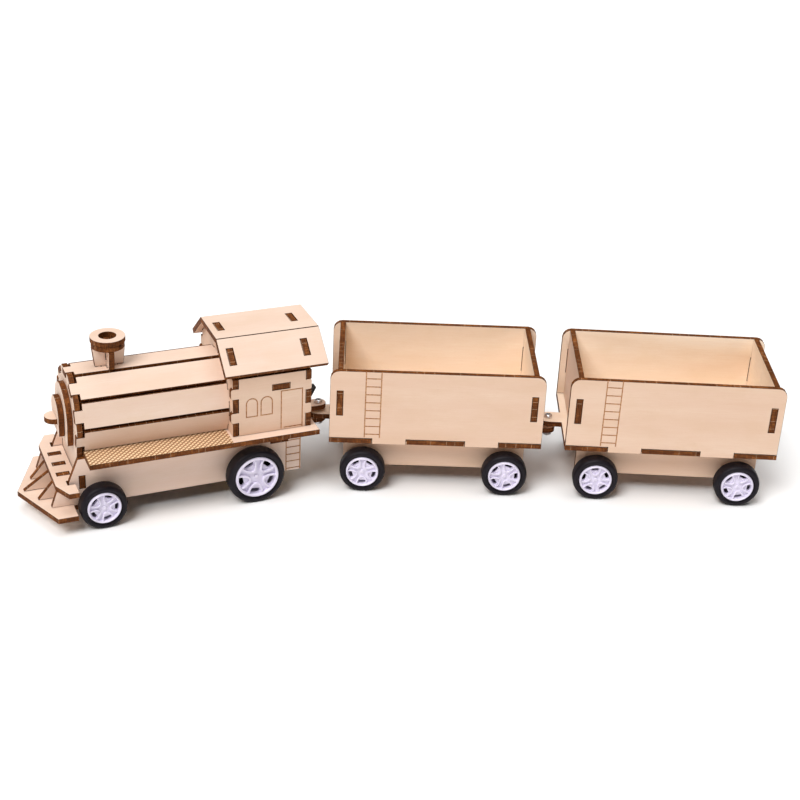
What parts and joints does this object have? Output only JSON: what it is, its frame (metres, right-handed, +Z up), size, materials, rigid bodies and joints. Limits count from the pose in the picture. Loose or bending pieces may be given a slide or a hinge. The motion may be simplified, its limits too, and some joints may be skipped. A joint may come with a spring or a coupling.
{
  "type": "wooden train construction model",
  "caption": "Laser-cut plywood steam locomotive with a ten-sided boiler, chimney, cab and cowcatcher, pulling open wagons on rubber-tyred wheels; the couplings turn.",
  "frame": {"origin": "on the floor, under the middle of the train's bounding box", "axes": "+Z up; +X along the middle wagon, from the locomotive's end towards the last wagon; -Y is the train's left side"},
  "size_m": [0.4918, 0.1484, 0.1142],
  "materials": {
    "plywood": "bare birch or lime plywood, fine straight grain, laser-burnt brown edges and lines",
    "tyre_rubber": "black rubber with a fine tread",
    "hub_plastic": "white moulded plastic hub",
    "steel": "bright zinc-plated screw",
    "black_plastic": "black moulded plastic",
    "yellow_plastic": "yellow moulded plastic"
  },
  "bodies": {
    "locomotive": {"battery_box": "black_plastic", "boiler_front_former": "plywood", "boiler_plank_lower_left": "plywood", "boiler_plank_lower_right": "plywood", "boiler_plank_side_left": "plywood", "boiler_plank_side_right": "plywood", "boiler_plank_top": "plywood", "boiler_plank_upper_left": "plywood", "boiler_plank_upper_right": "plywood", "cab_side_left": "plywood", "cab_side_right": "plywood", "cab_wall_front": "plywood", "cab_wall_rear": "plywood", "chimney_cap": "plywood", "chimney_sheet_crosswise": "plywood", "chimney_sheet_lengthwise": "plywood", "coupling_bolt_1": "steel", "coupling_ear_lower": "plywood", "coupling_ear_upper": "plywood", "frame_left": "plywood", "frame_right": "plywood", "gear_motor": "yellow_plastic", "headlamp_peg": "plywood", "motor_shelf": "plywood", "pilot_plate_lower": "plywood", "pilot_plate_upper": "plywood", "pilot_rib_left": "plywood", "pilot_rib_middle": "plywood", "pilot_rib_right": "plywood", "roof_side_left": "plywood", "roof_side_right": "plywood", "roof_top": "plywood", "running_board": "plywood", "smokebox_door": "plywood", "smokebox_ring": "plywood", "switch_body": "black_plastic"},
    "wagon_1": {"coupling_bolt_2": "steel", "wagon_1_coupling_ear": "plywood", "wagon_1_end_front": "plywood", "wagon_1_end_rear": "plywood", "wagon_1_floor": "plywood", "wagon_1_frame_left": "plywood", "wagon_1_frame_right": "plywood", "wagon_1_side_left": "plywood", "wagon_1_side_right": "plywood"},
    "wagon_2": {"wagon_2_cross_tie": "plywood", "wagon_2_end_front": "plywood", "wagon_2_end_rear": "plywood", "wagon_2_floor": "plywood", "wagon_2_frame_left": "plywood", "wagon_2_frame_right": "plywood", "wagon_2_side_left": "plywood", "wagon_2_side_right": "plywood"},
    "loco_front_wheels": {"wheelset_front": "tyre_rubber"},
    "loco_rear_wheels": {"wheelset_rear": "tyre_rubber"},
    "wagon_1_front_wheels": {"wagon_1_wheelset_front": "tyre_rubber"},
    "wagon_1_rear_wheels": {"wagon_1_wheelset_rear": "tyre_rubber"},
    "wagon_2_front_wheels": {"wagon_2_wheelset_front": "tyre_rubber"},
    "wagon_2_rear_wheels": {"wagon_2_wheelset_rear": "tyre_rubber"},
    "switch_rocker": {"switch_rocker": "black_plastic"}
  },
  "joints": [
    {"name": "loco_coupling", "type": "hinge", "parent": "locomotive", "child": "wagon_1", "pos_m": [-0.05841, 0.03318, 0.038], "axis": [0, 0, 1], "range_deg": [-8, 52]},
    {"name": "wagon_coupling", "type": "hinge", "parent": "wagon_1", "child": "wagon_2", "pos_m": [0.09739, 0.03318, 0.038], "axis": [0, 0, 1], "range_deg": [-18, 21.5]},
    {"name": "loco_front_axle", "type": "hinge", "parent": "locomotive", "child": "loco_front_wheels", "pos_m": [-0.2024, -0.025, 0.015], "axis": [-0.3746, 0.9272, 0], "continuous": true},
    {"name": "loco_rear_axle", "type": "hinge", "parent": "locomotive", "child": "loco_rear_wheels", "pos_m": [-0.11006, 0.01231, 0.019], "axis": [-0.3746, 0.9272, 0], "continuous": true},
    {"name": "wagon_1_front_axle", "type": "hinge", "parent": "wagon_1", "child": "wagon_1_front_wheels", "pos_m": [-0.02751, 0.03318, 0.015], "axis": [0, 1, 0], "continuous": true},
    {"name": "wagon_1_rear_axle", "type": "hinge", "parent": "wagon_1", "child": "wagon_1_rear_wheels", "pos_m": [0.06649, 0.03318, 0.015], "axis": [0, 1, 0], "continuous": true},
    {"name": "wagon_2_front_axle", "type": "hinge", "parent": "wagon_2", "child": "wagon_2_front_wheels", "pos_m": [0.12828, 0.03226, 0.015], "axis": [0.0297, 0.9996, 0], "continuous": true},
    {"name": "wagon_2_rear_axle", "type": "hinge", "parent": "wagon_2", "child": "wagon_2_rear_wheels", "pos_m": [0.22223, 0.02947, 0.015], "axis": [0.0297, 0.9996, 0], "continuous": true},
    {"name": "power_switch", "type": "hinge", "parent": "locomotive", "child": "switch_rocker", "pos_m": [-0.06621, 0.00737, 0.0654], "axis": [0.3746, -0.9272, 0], "range_deg": [0, 18]}
  ]
}
